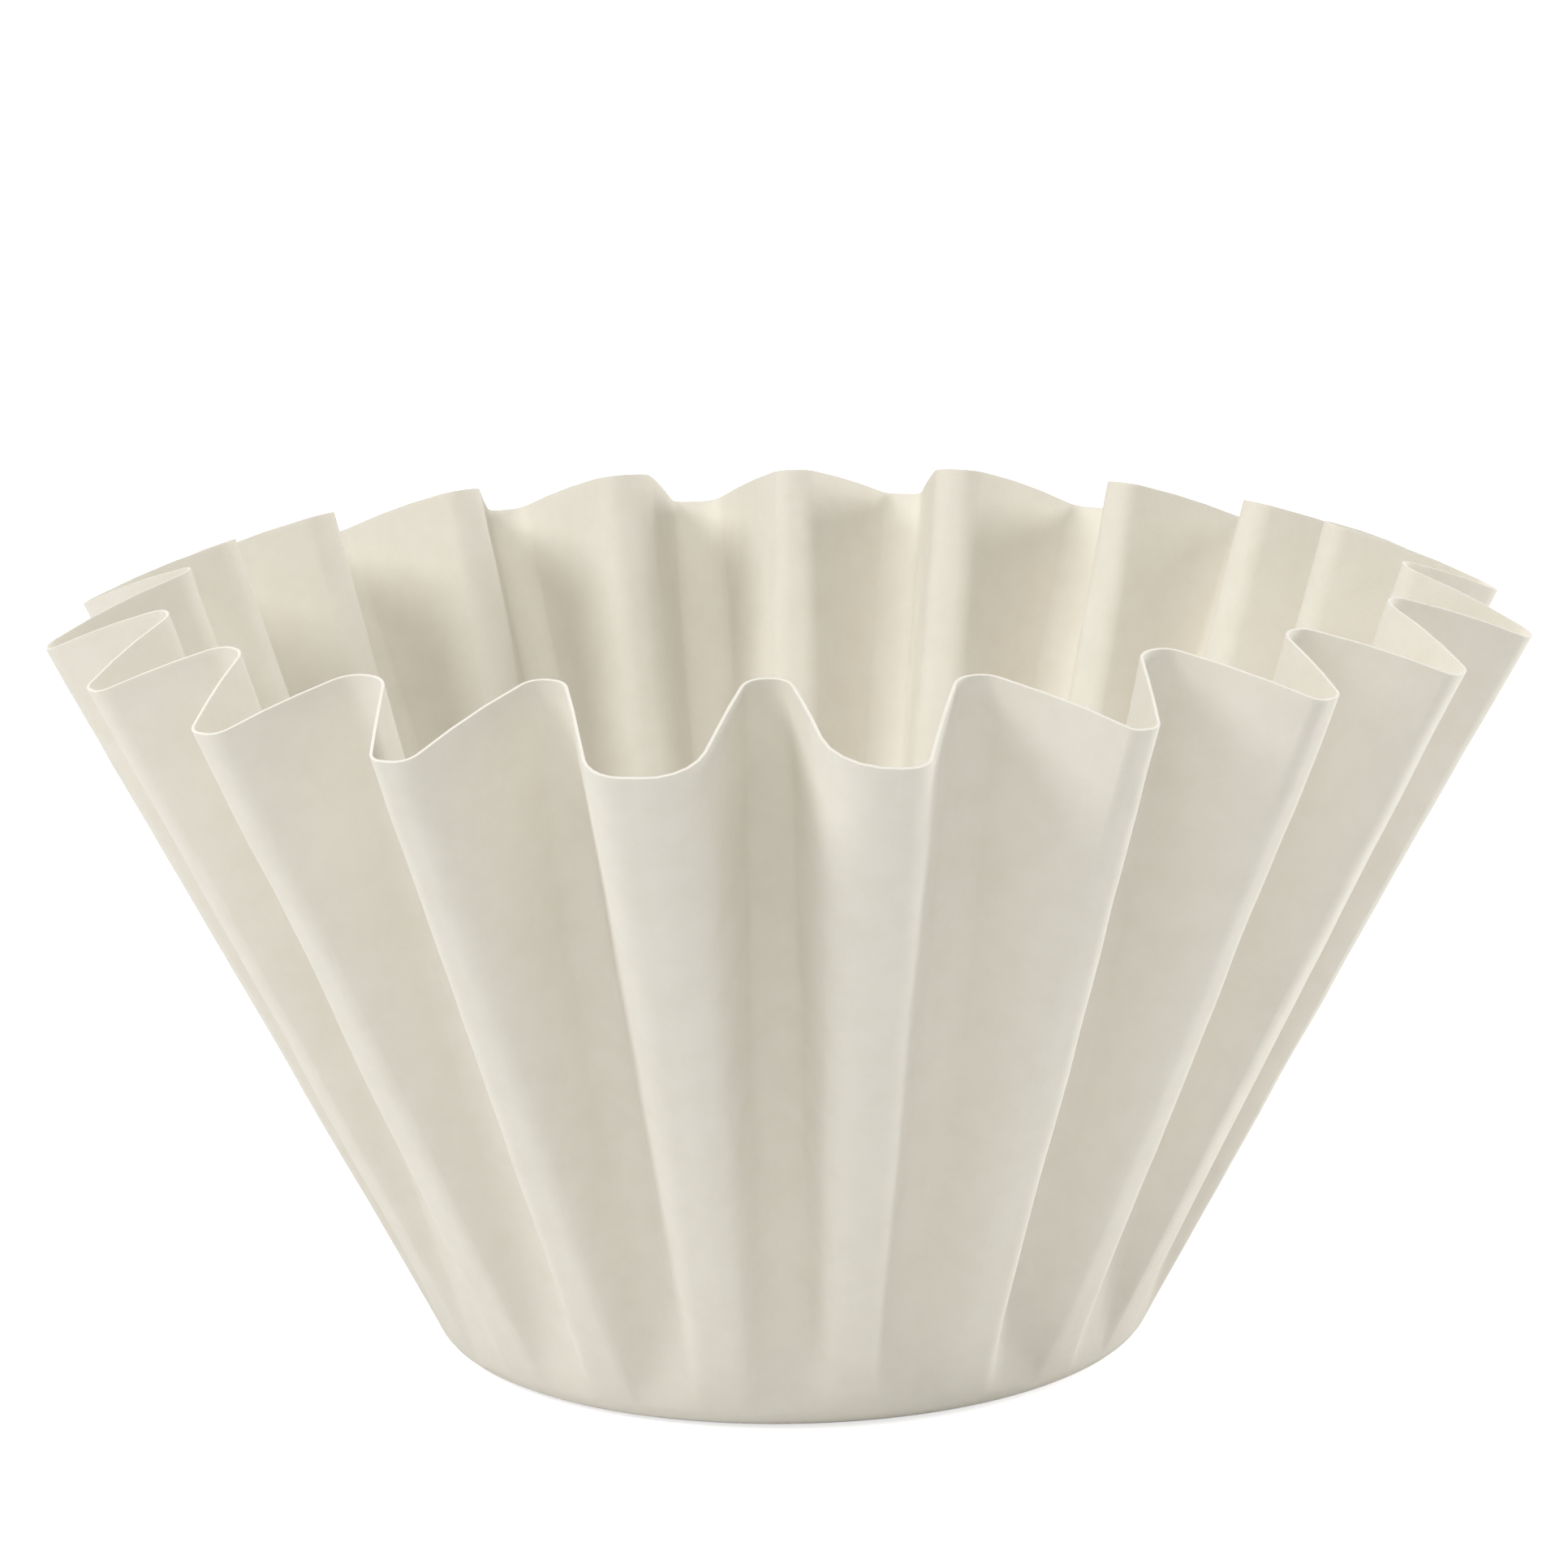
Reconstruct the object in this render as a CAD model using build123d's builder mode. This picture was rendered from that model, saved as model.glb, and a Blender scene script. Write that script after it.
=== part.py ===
from build123d import *
import os
from math import acos, asin, atan2, cos, radians, sin, sqrt, tan

# Flat-bottomed paper coffee filter, pressed and fluted from one flat disc of paper.
# Z is up, the origin is the middle of the underside and the front faces -Y.
# Paper bends but hardly stretches, so the wall is all flats: every flute has a crest, every gap between two
# flutes has a floor, and the flank from one to the other spreads like a fan, with its two bends, from its foot.

# Driving dimensions, millimetres and degrees
base_diameter = 50.0  # flat bottom, to the sharp corner where the wall would start
base_corner_radius = 2.3  # inside of the bend from base to wall
wall_slant = 57.5  # paper from that sharp corner to the rim, the same all round
flute_count = 20
crest_lean = 27.3  # away from upright
floor_lean = 17.2  # away from upright
crest_foot_width = 4.6  # at the base corner
crest_top_width = 0.6  # at the top of the blank
floor_top_width = 0.4  # at the top of the blank
crest_bend_radius = 0.7  # inside of the bend from crest to flank, at the top of the blank
floor_bend_radius = 2.4  # inside of the bend from flank to floor, at the top of the blank
paper_thickness = 0.2
front_crest_turn = 7.5  # crest nearest the front, round to its right
bend_steps = 4  # narrow flats in one bend of the wall
corner_steps = 5  # narrow flats in the bend from base to wall

# Base corner, bent up to the wall's middle lean and ended level, at the wall's foot
base_radius = base_diameter / 2
middle_lean = radians((crest_lean + floor_lean) / 2)
corner_outside_radius = base_corner_radius + paper_thickness
corner_centre_out = base_radius - corner_outside_radius * tan((radians(90) - middle_lean) / 2)
foot_drop = corner_outside_radius * sin(middle_lean)
foot_height = corner_outside_radius - foot_drop
foot_outside_radius = corner_centre_out + corner_outside_radius * cos(middle_lean)
foot_inside_radius = corner_centre_out + sqrt(base_corner_radius**2 - foot_drop**2)

# Bearings about the upright axis, from the middle of a crest: the foot of its right flank and the next floor
flank_bearing = asin(crest_foot_width / 2 / foot_outside_radius)
floor_bearing = radians(180 / flute_count)
floor_half_bearing = floor_bearing - flank_bearing

# Top of the wall blank, as high as the paper would reach if it stood upright
blank_height = wall_slant
blank_rise = blank_height - foot_height
level_thickness = paper_thickness / cos(middle_lean)
crest_out = foot_outside_radius * cos(flank_bearing) + blank_rise * tan(radians(crest_lean))
floor_out = foot_outside_radius * cos(floor_half_bearing) + blank_rise * tan(radians(floor_lean))


def around(radius, bearing, height=0):
    """A point at a bearing, counted to the right from the front."""
    return Vector(radius * sin(bearing), -radius * cos(bearing), height)


# Bends at the top of the blank, with the flank between them touching both
crest_outside_radius = crest_bend_radius + level_thickness
crest_bend_centre = around(crest_out - crest_outside_radius, 0, blank_height) + Vector(crest_top_width / 2, 0)
floor_bend_centre = around(floor_out + floor_bend_radius, floor_bearing, blank_height)
floor_bend_centre -= around(floor_top_width / 2, floor_bearing + radians(90))
apart = floor_bend_centre - crest_bend_centre
flank_facing = atan2(apart.X, -apart.Y) - acos((crest_outside_radius + floor_bend_radius) / apart.length)


def top_line(inset):
    """Top of the blank on one skin of the paper, from the middle of a crest to the middle of the next floor."""
    points = [around(crest_out - inset, 0, blank_height)]
    for step in range(bend_steps + 1):
        facing = flank_facing * step / bend_steps
        points.append(crest_bend_centre + around(crest_outside_radius - inset, facing))
    for step in range(bend_steps + 1):
        facing = flank_facing + (floor_bearing - flank_facing) * step / bend_steps
        points.append(floor_bend_centre - around(floor_bend_radius + inset, facing))
    points.append(around(floor_out - inset, floor_bearing, blank_height))
    return points


def foot_line(radius):
    """Foot of the same skin: the middle of the crest, the foot of the flank and the middle of the floor."""
    crest_foot = around(radius * cos(flank_bearing), 0, foot_height)
    flank_foot = around(radius, flank_bearing, foot_height)
    floor_foot = around(radius * cos(floor_half_bearing), floor_bearing, foot_height)
    return [crest_foot, flank_foot, floor_foot]


def skin_flats(foot, top):
    """Half a crest, the fan of the flank and its bends, and half a floor."""
    crest_foot, flank_foot, floor_foot = foot
    crest = [crest_foot, flank_foot, top[1], top[0]]
    floor = [flank_foot, floor_foot, top[-1], top[-2]]
    fan = [[flank_foot, start, end] for start, end in zip(top[1:-2], top[2:-1])]
    return [crest, floor] + fan


# Half a flute: the two skins of the paper, its foot and its top, and the cuts along its crest and its floor
outside_top = top_line(0)
outside_foot = foot_line(foot_outside_radius)
inside_top = top_line(level_thickness)
inside_foot = foot_line(foot_inside_radius)
flats = skin_flats(outside_foot, outside_top) + skin_flats(inside_foot, inside_top)
flats.append(outside_foot + inside_foot[::-1])
flats.append(outside_top + inside_top[::-1])
for end in (0, -1):
    flats.append([outside_foot[end], outside_top[end], inside_top[end], inside_foot[end]])
half_flute = Solid(Shell([Face(Wire.make_polygon(flat)) for flat in flats]))

# One flute of the wall
with BuildPart() as flute:
    add(half_flute)

    # Rim: the edge of the flat disc, so that the paper is equally long from the base corner all round
    with BuildSketch(Plane.XZ):
        with BuildLine():
            rim_cut = CenterArc((base_radius, 0), wall_slant, 0, 90)
            Polyline(
                rim_cut @ 0,
                (base_radius + 2 * wall_slant, 0),
                (base_radius + 2 * wall_slant, 2 * wall_slant),
                (base_radius, 2 * wall_slant),
                rim_cut @ 1,
            )
        make_face()
    revolve(axis=Axis.Z, mode=Mode.SUBTRACT)
    mirror(about=Plane.YZ)

# The whole filter
with BuildPart() as paper_filter:
    # Flat base and the bend up to the wall, with a corner below the foot of every flank
    for bend_radius, mode in ((corner_outside_radius, Mode.ADD), (base_corner_radius, Mode.SUBTRACT)):
        for step in range(corner_steps + 1):
            bend = acos(foot_drop / bend_radius) * step / corner_steps
            ring_radius = corner_centre_out + bend_radius * sin(bend)
            with BuildSketch(Plane.XY.offset(corner_outside_radius - bend_radius * cos(bend))):
                with BuildLine():
                    corners = []
                    for number in range(flute_count):
                        crest_bearing = radians(front_crest_turn) + 2 * number * floor_bearing
                        corners.append(around(ring_radius, crest_bearing - flank_bearing))
                        corners.append(around(ring_radius, crest_bearing + flank_bearing))
                    Polyline(corners, close=True)
                make_face()
        loft(ruled=True, mode=mode)

    # The flute repeated all round
    with PolarLocations(0, flute_count, start_angle=front_crest_turn):
        add(flute.part)

paper_filter.part.label = "paper_filter"
os.makedirs("parts", exist_ok=True)
export_step(paper_filter.part, "parts/paper_filter.step")
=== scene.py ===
"""Paper coffee filter: the pressed and fluted paper, and a plain studio stage around it."""

import math
import random

import bpy
from bpy.props import FloatProperty, FloatVectorProperty, IntProperty, PointerProperty
from bpy.types import Operator, Panel, PropertyGroup
from mathutils import Matrix, Vector


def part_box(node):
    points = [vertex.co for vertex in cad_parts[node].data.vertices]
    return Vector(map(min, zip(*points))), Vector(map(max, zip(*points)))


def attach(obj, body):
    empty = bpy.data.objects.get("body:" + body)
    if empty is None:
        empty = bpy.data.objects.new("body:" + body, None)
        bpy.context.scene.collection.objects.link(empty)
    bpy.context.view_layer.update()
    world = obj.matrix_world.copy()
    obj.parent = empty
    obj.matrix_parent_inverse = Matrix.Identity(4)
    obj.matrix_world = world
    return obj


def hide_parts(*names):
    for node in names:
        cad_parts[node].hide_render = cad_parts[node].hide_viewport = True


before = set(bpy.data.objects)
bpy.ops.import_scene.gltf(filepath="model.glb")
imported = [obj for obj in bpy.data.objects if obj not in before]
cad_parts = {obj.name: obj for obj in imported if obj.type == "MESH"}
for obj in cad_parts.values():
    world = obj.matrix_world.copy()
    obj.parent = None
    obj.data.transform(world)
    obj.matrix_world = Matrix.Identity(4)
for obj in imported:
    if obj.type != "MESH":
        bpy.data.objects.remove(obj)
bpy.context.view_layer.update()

bl_info = {
    "name": "Paper Coffee Filter",
    "version": (1, 0, 0),
    "blender": (4, 5, 0),
    "location": "View3D > Sidebar > Filter",
    "description": "Presses a fluted paper coffee filter and sets a plain studio around it",
    "category": "Object",
}

# The CAD part that the paper is fitted to
CAD_NODE = "paper_filter"
CAD_LOW, CAD_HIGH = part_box(CAD_NODE)

# Units, in metres and radians, and the white of the studio
MM = 0.001
DEGREE = math.radians(1)
WHITE = (1.0, 1.0, 1.0, 1.0)

# Spans of the grid in half a flute, from the middle of its crest to the middle of the next floor
CREST_SPANS = 2
CREST_BEND_SPANS = 5
FLANK_SPANS = 3
FLOOR_BEND_SPANS = 5
FLOOR_SPANS = 1
HALF_FLUTE = (CREST_SPANS, CREST_BEND_SPANS, FLANK_SPANS, FLOOR_BEND_SPANS, FLOOR_SPANS)
HALF_SPANS = sum(HALF_FLUTE)

# Rows of the grid from the middle of the base to the rim
BASE_ROWS = 5
CORNER_ROWS = 6
WALL_ROWS = 36
ROWS = BASE_ROWS + CORNER_ROWS + WALL_ROWS

# Finish of the mesh: points closer than this become one, and edges sharper than this are shaded sharp
MERGE_DISTANCE = 0.002 * MM
SHARP_ANGLE = 50 * DEGREE

# How the crest of a flute and the floor to its right are folded: the name of each value, its unit, and its
# least and most in an ordinary flute. Turns and leans are counted from an even flute.
CREST_FOLDS = (
    ("crest_turn", DEGREE, -0.9, 0.9),
    ("crest_lean", DEGREE, -0.8, 0.8),
    ("crest_width", MM, 0.4, 1.2),
    ("left_bend", MM, 1.2, 2.2),
    ("right_bend", MM, 1.2, 2.2),
)
FLOOR_FOLDS = (
    ("floor_turn", DEGREE, -0.9, 0.9),
    ("floor_lean", DEGREE, -0.8, 0.8),
    ("floor_bend", MM, 1.4, 2.2),
    ("floor_sag", MM, 1.0, 1.5),
)

# The same values for flutes bent by handling, numbered to the right from the crest nearest the front
HANDLED_CRESTS = {
    -5: (0.0, -0.1, 0.5, 1.4, 1.4),
    -4: (0.4, -0.3, 0.5, 1.2, 1.6),
    -3: (0.2, 0.3, 0.5, 1.2, 1.8),
    -2: (-0.3, 0.4, 0.6, 1.2, 1.8),
    -1: (0.0, 0.6, 1.2, 3.0, 4.0),
    0: (1.0, 0.0, 0.5, 5.0, 1.5),
    1: (1.8, -1.8, 0.5, 1.0, 1.0),
    2: (1.4, -1.6, 0.5, 1.3, 1.2),
    3: (-0.2, -0.2, 0.5, 1.4, 1.2),
    4: (0.6, 1.0, 0.5, 1.4, 1.4),
}
HANDLED_FLOORS = {
    -5: (-0.8, 1.4, 2.0, 0.2),
    -4: (-0.2, 1.6, 2.1, 0.2),
    -3: (0.0, 1.6, 2.2, 0.9),
    -2: (-1.0, 0.0, 1.4, 1.4),
    -1: (0.2, -0.8, 1.4, 1.4),
    0: (0.3, 0.0, 1.6, 1.4),
    1: (0.6, -0.6, 1.6, 1.2),
    2: (-0.8, 0.6, 1.6, 0.6),
    3: (0.1, 1.6, 1.7, 0.2),
    4: (-0.1, 1.6, 1.9, 0.2),
}

# Sag of the floors: where it starts, with 0 the middle of a crest and 1 the middle of a floor, and the
# factor that makes its curve up the wall reach 1
SAG_START = 0.25
SAG_FACTOR = 12.2

# Ripples of the paper: the scale of each noise and its share of the ripple height, and how far up the wall
# they start and are full
RIPPLES = ((70.0, 1.0), (210.0, 0.3))
RIPPLE_DETAIL = 1.0
RIPPLE_START = 0.02
RIPPLE_FULL = 0.4

# Finish of the paper: the shader itself, the cloudy tone of the sheet and the fine fibres
PAPER_FINISH = {
    "Roughness": 0.9,
    "Specular IOR Level": 0.2,
    "Subsurface Weight": 0.25,
    "Subsurface Radius": (1.0, 0.9, 0.7),
    "Subsurface Scale": 0.4 * MM,
}
CLOUD_NOISE = {"Scale": 420.0, "Detail": 4.0, "Roughness": 0.6}
CLOUD_SPREAD = {"From Min": 0.4, "From Max": 0.75}
FIBRE_NOISE = {"Scale": 2600.0, "Detail": 3.0, "Distortion": 1.2}
FIBRE_BUMP = {"Strength": 0.3, "Distance": 0.05 * MM}

# Lamps: the name, the place beside the middle of the object, and the width, in metres
LAMPS = (
    ("key", (-0.50, -0.22, 0.48), 0.35),
    ("fill", (0.57, 0.16, 0.11), 0.25),
    ("top", (-0.03, -0.26, 0.65), 0.40),
)

# Floor and camera: the floor's reach in diagonals of the CAD box, its gap to the base, and the width of the
# camera's sensor in millimetres
FLOOR_REACH = 20
FLOOR_GAP = 0.05 * MM
SENSOR_WIDTH = 36.0


class FilterPaper(PropertyGroup):
    """Sizes, unevenness and colour of the pressed paper."""

    flute_count: IntProperty(name="Flutes", description="Flutes in the wall", default=20, min=3)
    front_crest_turn: FloatProperty(
        name="Front Crest Turn",
        description="Crest nearest the front, round to its right",
        default=math.radians(7.5),
        subtype="ANGLE",
    )
    crest_lean: FloatProperty(
        name="Crest Lean",
        description="Crest of a flute, away from upright",
        default=math.radians(27.3),
        subtype="ANGLE",
    )
    floor_lean: FloatProperty(
        name="Floor Lean",
        description="Floor between two flutes, away from upright",
        default=math.radians(17.2),
        subtype="ANGLE",
    )
    wall_slant: FloatProperty(
        name="Wall Slant",
        description="Paper from the sharp base corner to the rim",
        default=57.5 * MM,
        unit="LENGTH",
    )
    base_diameter: FloatProperty(
        name="Base Diameter",
        description="Flat bottom, to the sharp corner where the wall would start",
        default=50.0 * MM,
        unit="LENGTH",
    )
    corner_radius: FloatProperty(
        name="Corner Radius",
        description="Outside of the bend from base to wall",
        default=2.5 * MM,
        unit="LENGTH",
    )
    crest_foot_width: FloatProperty(
        name="Crest Foot Width",
        description="Width of a crest at the base corner",
        default=1.8 * MM,
        unit="LENGTH",
    )
    floor_top_width: FloatProperty(
        name="Floor Top Width",
        description="Width of the floor between two flutes at the rim",
        default=0.3 * MM,
        unit="LENGTH",
    )
    fold_spread: FloatProperty(
        name="Fold Spread",
        description="How softly the folds start at the base corner, from a point to an even spread",
        default=0.85,
        subtype="FACTOR",
        min=0.02,
        max=1.0,
    )
    paper_thickness: FloatProperty(
        name="Paper Thickness", description="Thickness of the paper", default=0.2 * MM, unit="LENGTH"
    )
    ripple_height: FloatProperty(
        name="Ripple Height", description="Soft ripples in the flats", default=0.25 * MM, unit="LENGTH"
    )
    seed: IntProperty(name="Seed", description="Seed of the unevenness", default=7)
    paper_colour: FloatVectorProperty(
        name="Paper Colour",
        description="Warm white of the paper",
        default=(0.80, 0.768, 0.690),
        subtype="COLOR",
        size=3,
        min=0.0,
        max=1.0,
    )
    fibre_colour: FloatVectorProperty(
        name="Fibre Colour",
        description="Slightly darker tone where the fibres lie thicker",
        default=(0.772, 0.737, 0.655),
        subtype="COLOR",
        size=3,
        min=0.0,
        max=1.0,
    )


class FilterStage(PropertyGroup):
    """Camera, light and floor around the paper."""

    camera_distance: FloatProperty(
        name="Camera Distance", description="From the camera to its aim", default=0.4, unit="LENGTH"
    )
    camera_elevation: FloatProperty(
        name="Camera Elevation",
        description="Camera above the horizon",
        default=math.radians(12.35),
        subtype="ANGLE",
    )
    camera_roll: FloatProperty(
        name="Camera Roll",
        description="Camera turned about its line of sight",
        default=math.radians(-1.02),
        subtype="ANGLE",
    )
    camera_lens: FloatProperty(
        name="Camera Lens",
        description="Focal length in millimetres on a 36 mm sensor",
        default=130.36,
        unit="CAMERA",
    )
    aim_height: FloatProperty(
        name="Aim Height", description="Height that the camera aims at", default=39.25 * MM, unit="LENGTH"
    )
    world_strength: FloatProperty(
        name="Sky Strength", description="Even light from all round", default=0.37, min=0.0
    )
    key_power: FloatProperty(
        name="Key Power",
        description="Soft lamp at the upper left, in watts",
        default=2.43,
        unit="POWER",
        min=0.0,
    )
    fill_power: FloatProperty(
        name="Fill Power",
        description="Soft low lamp at the right, in watts",
        default=1.65,
        unit="POWER",
        min=0.0,
    )
    top_power: FloatProperty(
        name="Top Power",
        description="Soft lamp above and before the object, in watts",
        default=2.0,
        unit="POWER",
        min=0.0,
    )
    floor_lift: FloatProperty(
        name="Floor Lift",
        description="Light added to the floor where the camera sees it",
        default=0.67,
        min=0.0,
    )
    floor_colour: FloatVectorProperty(
        name="Floor Colour",
        description="Pale floor under the object",
        default=(0.90, 0.90, 0.90),
        subtype="COLOR",
        size=3,
        min=0.0,
        max=1.0,
    )


def set_values(node, values):
    """Sets the inputs of a node by name."""
    for name, value in values.items():
        node.inputs[name].default_value = value


class Term:
    """A number in a node tree that can be used in ordinary sums."""

    def __init__(self, tree, socket):
        self.tree = tree
        self.socket = socket

    def apply(self, operation, *others):
        """The result of a Math node on this number and the others."""
        node = self.tree.nodes.new("ShaderNodeMath")
        node.operation = operation
        for slot, value in zip(node.inputs, (self,) + others):
            if isinstance(value, Term):
                self.tree.links.new(value.socket, slot)
            else:
                slot.default_value = value
        return Term(self.tree, node.outputs["Value"])

    def __add__(self, other):
        return self.apply("ADD", other)

    def __sub__(self, other):
        return self.apply("SUBTRACT", other)

    def __mul__(self, other):
        return self.apply("MULTIPLY", other)

    def __truediv__(self, other):
        return self.apply("DIVIDE", other)

    def __rsub__(self, other):
        return self * -1 + other

    def __rtruediv__(self, other):
        return self.apply("POWER", -1) * other

    def sin(self):
        return self.apply("SINE")

    def cos(self):
        return self.apply("COSINE")

    def tan(self):
        return self.apply("TANGENT")

    def sqrt(self):
        return self.apply("SQRT")

    def share(self, start, end):
        """How far this number is from start to end, kept between 0 and 1."""
        node = self.tree.nodes.new("ShaderNodeMapRange")
        set_values(node, {"From Min": start, "From Max": end})
        self.tree.links.new(self.socket, node.inputs["Value"])
        return Term(self.tree, node.outputs["Result"])


def mix(start, end, share):
    """A number between two others."""
    return start + (end - start) * share


class PressTree:
    """The Geometry Nodes tree that presses the flat paper into a fluted filter."""

    SIZES = (
        ("Flutes", "flute_count"),
        ("Front Crest Turn", "front_crest_turn"),
        ("Crest Lean", "crest_lean"),
        ("Floor Lean", "floor_lean"),
        ("Wall Slant", "wall_slant"),
        ("Base Diameter", "base_diameter"),
        ("Corner Radius", "corner_radius"),
        ("Crest Foot Width", "crest_foot_width"),
        ("Floor Top Width", "floor_top_width"),
        ("Fold Spread", "fold_spread"),
        ("Ripple Height", "ripple_height"),
    )

    def __init__(self, name):
        self.tree = bpy.data.node_groups.new(name, "GeometryNodeTree")
        self.identifiers = {}
        self.add_socket("Fold Ring", "NodeSocketGeometry")
        for socket_name, _ in self.SIZES:
            self.add_socket(socket_name, "NodeSocketFloat")
        self.add_socket("Columns", "NodeSocketInt")
        self.add_socket("Rows", "NodeSocketInt")
        self.add_socket("Paper", "NodeSocketMaterial")
        self.tree.interface.new_socket("Filter", in_out="OUTPUT", socket_type="NodeSocketGeometry")
        self.inputs = self.tree.nodes.new("NodeGroupInput")
        self.build()

    def add_socket(self, name, kind):
        """Adds a named input and keeps its identifier."""
        socket = self.tree.interface.new_socket(name, in_out="INPUT", socket_type=kind)
        self.identifiers[name] = socket.identifier

    def size(self, name):
        """One of the tree's named sizes."""
        return Term(self.tree, self.inputs.outputs[name])

    def node(self, kind, **links):
        """A new node with its inputs linked by name, with an underscore for each space."""
        node = self.tree.nodes.new(kind)
        for name, socket in links.items():
            self.tree.links.new(socket, node.inputs[name.replace("_", " ")])
        return node

    def attribute(self, name):
        """The number that a mesh holds at its points under a name."""
        node = self.node("GeometryNodeInputNamedAttribute")
        node.data_type = "FLOAT"
        set_values(node, {"Name": name})
        return Term(self.tree, node.outputs["Attribute"])

    def fold(self, name, number):
        """A value that the fold ring holds for one flute."""
        sample = self.node(
            "GeometryNodeSampleIndex",
            Geometry=self.inputs.outputs["Fold Ring"],
            Value=self.attribute(name).socket,
            Index=number.socket,
        )
        return Term(self.tree, sample.outputs["Value"])

    def point(self, x, y, z):
        """A place from its three numbers."""
        return self.node("ShaderNodeCombineXYZ", X=x.socket, Y=y.socket, Z=z.socket).outputs["Vector"]

    def build(self):
        """Lays out the tree: a grid, its place on the filter, closing, soft ripples and the paper."""
        columns = self.inputs.outputs["Columns"]
        rows = self.inputs.outputs["Rows"]
        grid = self.node("GeometryNodeMeshGrid", Vertices_X=columns, Vertices_Y=rows)
        set_values(grid, {"Size X": 1.0, "Size Y": 1.0})
        place = self.node("ShaderNodeSeparateXYZ", Vector=self.node("GeometryNodeInputPosition").outputs[0])
        round_wall = Term(self.tree, place.outputs["X"]) + 0.5
        up_wall = Term(self.tree, place.outputs["Y"]) + 0.5
        position, wall = self.pressed_place(round_wall, up_wall)

        keep_wall = self.node(
            "GeometryNodeStoreNamedAttribute", Geometry=grid.outputs["Mesh"], Value=wall.socket
        )
        keep_wall.data_type = "FLOAT"
        keep_wall.domain = "POINT"
        set_values(keep_wall, {"Name": "wall"})
        pressed = self.node(
            "GeometryNodeSetPosition", Geometry=keep_wall.outputs["Geometry"], Position=position
        )
        closed = self.node("GeometryNodeMergeByDistance", Geometry=pressed.outputs["Geometry"])
        set_values(closed, {"Distance": MERGE_DISTANCE})
        rippled = self.node(
            "GeometryNodeSetPosition", Geometry=closed.outputs["Geometry"], Offset=self.ripples()
        )
        smooth = self.node("GeometryNodeSetShadeSmooth", Geometry=rippled.outputs["Geometry"])
        realized = self.node("GeometryNodeRealizeInstances", Geometry=smooth.outputs["Geometry"])
        paper = self.inputs.outputs["Paper"]
        papered = self.node("GeometryNodeSetMaterial", Geometry=realized.outputs["Geometry"], Material=paper)
        self.node("NodeGroupOutput", Filter=papered.outputs["Geometry"])

    def pressed_place(self, round_wall, up_wall):
        """Where a point of the grid lies on the filter, and how far up the wall it is."""
        count = self.size("Flutes")
        slant = self.size("Wall Slant")

        # Nearest crest and floor, and how far the point is from the one to the other
        flutes = round_wall * count
        crest_number = flutes.apply("ROUND")
        floor_number = flutes.apply("FLOOR")
        from_crest = flutes - crest_number
        side = from_crest.apply("SIGN")
        across = from_crest.apply("ABSOLUTE") * 2
        crest = crest_number.apply("FLOORED_MODULO", count)
        floor = floor_number.apply("FLOORED_MODULO", count)
        pitch = math.tau / count
        front = self.size("Front Crest Turn")
        crest_bearing = front + crest_number * pitch + self.fold("crest_turn", crest)
        floor_bearing = front + (floor_number + 0.5) * pitch + self.fold("floor_turn", floor)
        between = (floor_bearing - crest_bearing).apply("ABSOLUTE")
        crest_lean = self.size("Crest Lean") + self.fold("crest_lean", crest)
        floor_lean = self.size("Floor Lean") + self.fold("floor_lean", floor)
        crest_half = self.fold("crest_width", crest) / 2
        floor_half = self.size("Floor Top Width") / 2

        # How far the point is across each flat and bend of the half flute
        shares = []
        start = 0
        for spans in HALF_FLUTE:
            shares.append(across.share(start / HALF_SPANS, (start + spans) / HALF_SPANS))
            start += spans
        crest_share, crest_bend_share, flank_share, floor_bend_share, floor_share = shares

        # Base, and the corner that bends up to the wall's middle lean
        middle_lean = (self.size("Crest Lean") + self.size("Floor Lean")) / 2
        corner = self.size("Corner Radius")
        base_radius = self.size("Base Diameter") / 2
        upright = math.pi / 2
        corner_out = base_radius - corner * ((upright - middle_lean) / 2).tan()
        row = up_wall * ROWS
        base = row.share(0, BASE_ROWS)
        bend = row.share(BASE_ROWS, BASE_ROWS + CORNER_ROWS) * (upright - middle_lean)
        wall = row.share(BASE_ROWS + CORNER_ROWS, ROWS)
        low_radius = base * corner_out + corner * bend.sin()
        low_height = corner - corner * bend.cos()
        foot_radius = corner_out + corner * middle_lean.cos()
        foot_height = corner - corner * middle_lean.sin()

        # Top of a blank, level all round: crest, bend, flank, bend and floor, seen from above. The flank
        # touches both bends, so the way it faces follows from their radii and the gap between their centres.
        rise = slant - foot_height
        crest_out = foot_radius + rise * crest_lean.tan()
        floor_out = foot_radius + rise * floor_lean.tan()
        crest_bend = mix(self.fold("left_bend", crest), self.fold("right_bend", crest), (side + 1) / 2)
        floor_bend = self.fold("floor_bend", floor)
        floor_centre_out = floor_out + floor_bend
        floor_sin = between.sin()
        floor_cos = between.cos()
        apart_right = floor_centre_out * floor_sin - floor_half * floor_cos - crest_half
        apart_out = floor_centre_out * floor_cos + floor_half * floor_sin - crest_out + crest_bend
        apart = (apart_right * apart_right + apart_out * apart_out).sqrt()
        turned = ((crest_bend + floor_bend) / apart).apply("ARCCOSINE")
        facing = apart_right.apply("ARCTAN2", apart_out) - turned
        crest_facing = facing * crest_bend_share
        crest_x = crest_half * crest_share + crest_bend * crest_facing.sin()
        crest_y = crest_out - crest_bend + crest_bend * crest_facing.cos()
        floor_facing = mix(facing, between, floor_bend_share)
        floor_left = floor_half * (1 - floor_share)
        floor_x = floor_centre_out * floor_sin - floor_left * floor_cos - floor_bend * floor_facing.sin()
        floor_y = floor_centre_out * floor_cos + floor_left * floor_sin - floor_bend * floor_facing.cos()
        top_right = mix(crest_x, floor_x, flank_share) * side
        top_out = mix(crest_y, floor_y, flank_share)

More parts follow.
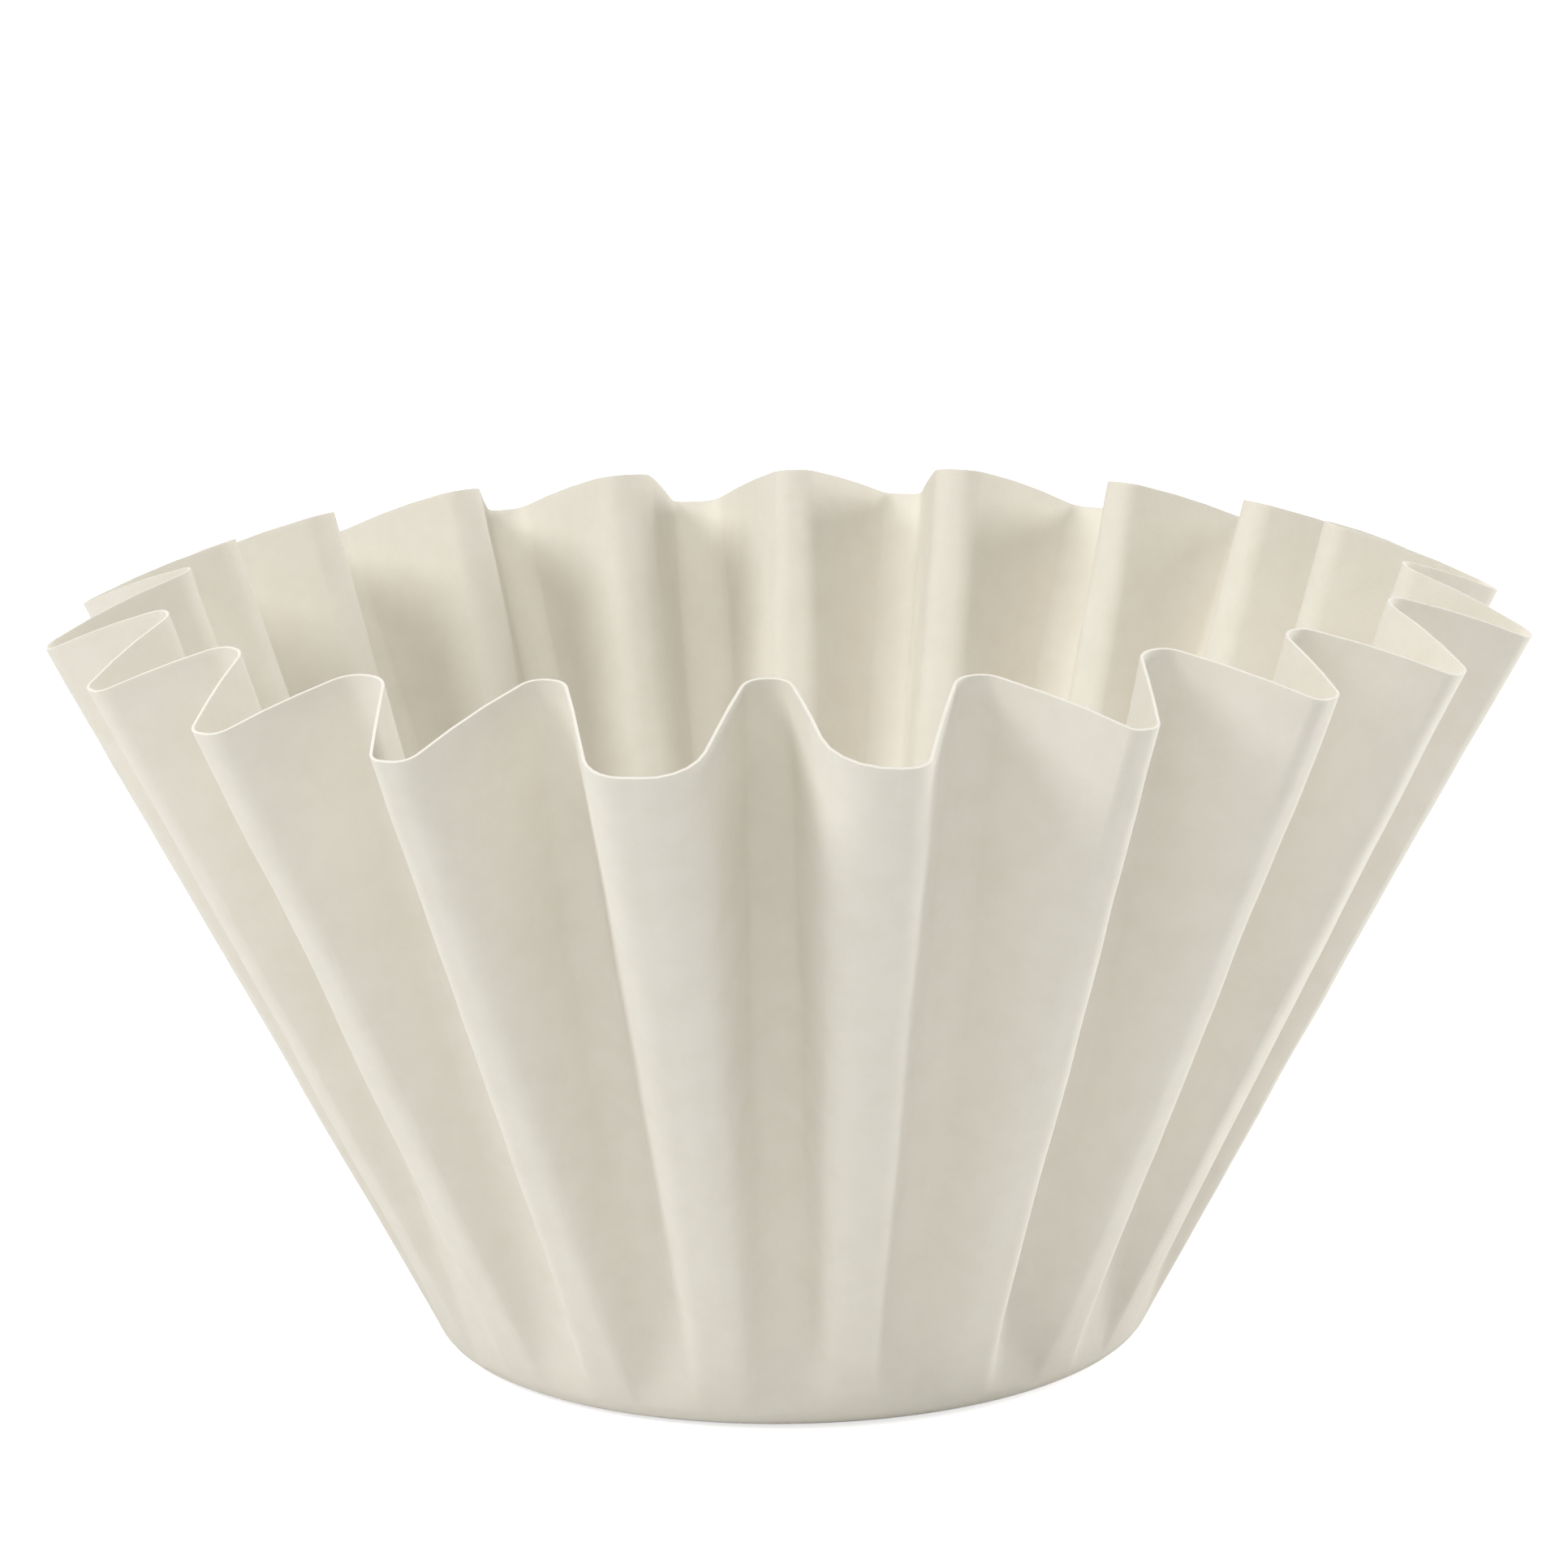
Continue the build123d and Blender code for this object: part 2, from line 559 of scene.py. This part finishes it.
        # Foot of the same line, where the flank and its bends draw together
        flank_bearing = (self.size("Crest Foot Width") / 2 / foot_radius).apply("ARCSINE")
        drawn = mix(flank_bearing * crest_share, between, floor_share)
        foot_bearing = crest_bearing + mix(drawn, between * across, self.size("Fold Spread")) * side
        low_bearing = mix(front + flutes * pitch, foot_bearing, base)

        # Along the line from its foot to the rim, which is the edge of the flat disc
        crest_sin = crest_bearing.sin()
        crest_cos = crest_bearing.cos()
        foot_sin = foot_bearing.sin()
        foot_cos = foot_bearing.cos()
        run_x = crest_sin * top_out + crest_cos * top_right - foot_sin * foot_radius
        run_y = crest_sin * top_right - crest_cos * top_out + foot_cos * foot_radius
        run = (run_x * run_x + run_y * run_y + rise * rise).sqrt()
        foot_out = foot_radius - base_radius
        foot_slant = (foot_out * foot_out + foot_height * foot_height).sqrt()
        along = wall * (slant - foot_slant) / run

        # The floors sink inwards, most of all a fifth of the way up
        deep = across.share(SAG_START, 1)
        rest = 1 - wall
        sunk = deep * deep * (3 - deep * 2) * wall
        sunk = sunk * rest * rest * rest * rest * SAG_FACTOR * self.fold("floor_sag", floor)
        position = self.point(
            low_bearing.sin() * low_radius + run_x * along - foot_sin * sunk,
            low_bearing.cos() * low_radius * -1 + run_y * along + foot_cos * sunk,
            low_height + rise * along,
        )
        return position, wall

    def ripples(self):
        """Soft ripples across the paper, stronger up the wall and gone from the base."""
        total = None
        for scale, strength in RIPPLES:
            noise = self.node("ShaderNodeTexNoise")
            set_values(noise, {"Scale": scale, "Detail": RIPPLE_DETAIL})
            ripple = (Term(self.tree, noise.outputs[0]) - 0.5) * (2 * strength)
            total = ripple if total is None else total + ripple
        up_wall = self.attribute("wall").share(RIPPLE_START, RIPPLE_FULL)
        amount = total * self.size("Ripple Height") * up_wall
        along_normal = self.node(
            "ShaderNodeVectorMath", Vector=self.node("GeometryNodeInputNormal").outputs[0]
        )
        along_normal.operation = "SCALE"
        self.tree.links.new(amount.socket, along_normal.inputs["Scale"])
        return along_normal.outputs["Vector"]


def fold_ring(paper):
    """A ring of points, one to a flute, that hold how its crest and the floor to its right are folded."""
    draw = random.Random(paper.seed)
    count = paper.flute_count
    values = {name: [] for name, _, _, _ in CREST_FOLDS + FLOOR_FOLDS}
    for number in range(count):
        place = number if number < count / 2 else number - count
        for folds, handled in ((CREST_FOLDS, HANDLED_CRESTS), (FLOOR_FOLDS, HANDLED_FLOORS)):
            drawn = [draw.uniform(least, most) for _, _, least, most in folds]
            for (name, unit, _, _), value in zip(folds, handled.get(place, drawn)):
                values[name].append(value * unit)
    ring = bpy.data.meshes.new("fold_ring")
    bearings = [math.tau * number / count for number in range(count)]
    ring.from_pydata([(math.sin(bearing), -math.cos(bearing), 0) for bearing in bearings], [], [])
    for name in values:
        ring.attributes.new(name, "FLOAT", "POINT").data.foreach_set("value", values[name])
    return ring


def paper_noise(tree, values):
    """A noise that stays with the paper."""
    place = tree.nodes.new("ShaderNodeTexCoord")
    noise = tree.nodes.new("ShaderNodeTexNoise")
    set_values(noise, values)
    tree.links.new(place.outputs["Object"], noise.inputs["Vector"])
    return noise.outputs[0]


def filter_paper(paper):
    """Warm white filter paper, faintly cloudy, with fine fibres that roughen it."""
    material = bpy.data.materials.new("filter_paper")
    material.use_nodes = True
    tree = material.node_tree
    shader = tree.nodes["Principled BSDF"]
    set_values(shader, PAPER_FINISH)

    spread = tree.nodes.new("ShaderNodeMapRange")
    set_values(spread, CLOUD_SPREAD)
    tree.links.new(paper_noise(tree, CLOUD_NOISE), spread.inputs["Value"])
    tone = tree.nodes.new("ShaderNodeMix")
    tone.data_type = "RGBA"
    set_values(tone, {"A": (*paper.paper_colour, 1), "B": (*paper.fibre_colour, 1)})
    tree.links.new(spread.outputs["Result"], tone.inputs["Factor"])
    tree.links.new(tone.outputs["Result"], shader.inputs["Base Color"])

    rough = tree.nodes.new("ShaderNodeBump")
    set_values(rough, FIBRE_BUMP)
    tree.links.new(paper_noise(tree, FIBRE_NOISE), rough.inputs["Height"])
    tree.links.new(rough.outputs["Normal"], shader.inputs["Normal"])
    return material


def plain_mesh(piece):
    """Turns what a piece's modifiers make into its own mesh, and removes them."""
    evaluated = piece.evaluated_get(bpy.context.evaluated_depsgraph_get())
    mesh = bpy.data.meshes.new_from_object(evaluated)
    if not mesh.polygons:
        raise RuntimeError(f"{piece.name} came out empty")
    piece.modifiers.clear()
    before = piece.data
    piece.data = mesh
    bpy.data.meshes.remove(before)
    mesh.name = piece.name


class FILTER_OT_press_paper(Operator):
    """Press the paper into a flat base and a fluted wall"""

    bl_idname = "filter.press_paper"
    bl_label = "Press Paper"

    def execute(self, context):
        paper = context.scene.filter_paper
        piece = bpy.data.objects.new("pressed_paper", fold_ring(paper))
        context.scene.collection.objects.link(piece)
        press = PressTree("press_paper")
        modifier = piece.modifiers.new("press", "NODES")
        modifier.node_group = press.tree
        for socket_name, property_name in PressTree.SIZES:
            modifier[press.identifiers[socket_name]] = float(getattr(paper, property_name))
        modifier[press.identifiers["Columns"]] = 2 * HALF_SPANS * paper.flute_count + 1
        modifier[press.identifiers["Rows"]] = ROWS + 1
        modifier[press.identifiers["Paper"]] = filter_paper(paper)
        sheet = piece.modifiers.new("thickness", "SOLIDIFY")
        sheet.thickness = paper.paper_thickness
        sheet.offset = -1.0
        sheet.use_even_offset = True
        plain_mesh(piece)
        piece.data.set_sharp_from_angle(angle=SHARP_ANGLE)
        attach(piece, "root")
        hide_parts(CAD_NODE)
        return {"FINISHED"}


def seen_directly(tree):
    """1 for what the camera sees, also in a reflection or through glass, and 0 for the light that falls."""
    ray = tree.nodes.new("ShaderNodeLightPath")
    seen = Term(tree, ray.outputs["Is Camera Ray"])
    for kind in ("Is Glossy Ray", "Is Transmission Ray"):
        seen = seen.apply("MAXIMUM", Term(tree, ray.outputs[kind]))
    return seen


def light_world(strength):
    """Even white light all round, and plain white where the camera sees it."""
    world = bpy.data.worlds.new("studio_sky")
    world.use_nodes = True
    nodes = world.node_tree.nodes
    links = world.node_tree.links
    soft = nodes["Background"]
    set_values(soft, {"Color": WHITE, "Strength": strength})
    white = nodes.new("ShaderNodeBackground")
    set_values(white, {"Color": WHITE, "Strength": 1.0})
    choose = nodes.new("ShaderNodeMixShader")
    links.new(seen_directly(world.node_tree).socket, choose.inputs["Fac"])
    links.new(soft.outputs["Background"], choose.inputs[1])
    links.new(white.outputs["Background"], choose.inputs[2])
    links.new(choose.outputs["Shader"], nodes["World Output"].inputs["Surface"])
    bpy.context.scene.world = world


def floor_finish(colour, lift):
    """Matt pale floor, lifted to white where the camera sees it, with its shadows kept."""
    material = bpy.data.materials.new("studio_floor")
    material.use_nodes = True
    material.cycles.emission_sampling = "NONE"
    tree = material.node_tree
    shader = tree.nodes["Principled BSDF"]
    matt = {"Roughness": 1.0, "Specular IOR Level": 0.0}
    set_values(shader, {"Base Color": (*colour, 1), "Emission Color": WHITE, **matt})
    tree.links.new((seen_directly(tree) * lift).socket, shader.inputs["Emission Strength"])
    return material


class FILTER_OT_set_stage(Operator):
    """Set the floor, the soft light and the camera around the paper"""

    bl_idname = "filter.set_stage"
    bl_label = "Set Stage"

    def execute(self, context):
        stage = context.scene.filter_stage
        self.lay_floor(context, stage)
        for name, place, width in LAMPS:
            self.hang_lamp(context, name, place, width, getattr(stage, f"{name}_power"))
        light_world(stage.world_strength)
        self.place_camera(context, stage)
        context.scene.view_settings.view_transform = "Standard"
        return {"FINISHED"}

    def lay_floor(self, context, stage):
        """A wide floor just under the base."""
        reach = FLOOR_REACH * (CAD_HIGH - CAD_LOW).length
        mesh = bpy.data.meshes.new("floor")
        corners = [(-reach, -reach, 0), (reach, -reach, 0), (reach, reach, 0), (-reach, reach, 0)]
        mesh.from_pydata(corners, [], [(0, 1, 2, 3)])
        mesh.materials.append(floor_finish(stage.floor_colour, stage.floor_lift))
        floor = bpy.data.objects.new("floor", mesh)
        floor.location.z = CAD_LOW.z - FLOOR_GAP
        context.scene.collection.objects.link(floor)

    def hang_lamp(self, context, name, place, width, power):
        """A soft round lamp that shines at the middle of the object."""
        light = bpy.data.lights.new(name, "AREA")
        light.shape = "DISK"
        light.size = width
        light.energy = power
        lamp = bpy.data.objects.new(name, light)
        middle = (CAD_LOW + CAD_HIGH) / 2
        lamp.location = middle + Vector(place)
        lamp.rotation_euler = (middle - lamp.location).to_track_quat("-Z", "Y").to_euler()
        context.scene.collection.objects.link(lamp)

    def place_camera(self, context, stage):
        """A camera in front of the object, a little above it and slightly rolled."""
        lens = bpy.data.cameras.new("camera")
        lens.sensor_width = SENSOR_WIDTH
        lens.lens = stage.camera_lens
        camera = bpy.data.objects.new("camera", lens)
        tilt = stage.camera_elevation
        back = Vector((0, -math.cos(tilt), math.sin(tilt)))
        up = Vector((0, math.sin(tilt), math.cos(tilt)))
        right = Vector((1, 0, 0))
        rolled_right = right * math.cos(stage.camera_roll) + up * math.sin(stage.camera_roll)
        rolled_up = up * math.cos(stage.camera_roll) - right * math.sin(stage.camera_roll)
        turn = Matrix((rolled_right, rolled_up, back)).transposed().to_4x4()
        aim = Vector((0, 0, stage.aim_height))
        camera.matrix_world = Matrix.Translation(aim + back * stage.camera_distance) @ turn
        context.scene.collection.objects.link(camera)
        context.scene.camera = camera


class FILTER_PT_tools(Panel):
    """The filter's sizes and the steps that make it"""

    bl_label = "Paper Filter"
    bl_idname = "FILTER_PT_tools"
    bl_space_type = "VIEW_3D"
    bl_region_type = "UI"
    bl_category = "Filter"

    def draw(self, context):
        for group, operator in (
            (context.scene.filter_paper, FILTER_OT_press_paper),
            (context.scene.filter_stage, FILTER_OT_set_stage),
        ):
            box = self.layout.box()
            for name in group.bl_rna.properties.keys():
                if name not in ("rna_type", "name"):
                    box.prop(group, name)
            box.operator(operator.bl_idname)


CLASSES = (FilterPaper, FilterStage, FILTER_OT_press_paper, FILTER_OT_set_stage, FILTER_PT_tools)


def register():
    for cls in CLASSES:
        bpy.utils.register_class(cls)
    bpy.types.Scene.filter_paper = PointerProperty(type=FilterPaper)
    bpy.types.Scene.filter_stage = PointerProperty(type=FilterStage)


def unregister():
    del bpy.types.Scene.filter_stage
    del bpy.types.Scene.filter_paper
    for cls in reversed(CLASSES):
        bpy.utils.unregister_class(cls)


def main():
    register()
    bpy.ops.filter.press_paper()
    bpy.ops.filter.set_stage()


if __name__ == "__main__":
    main()
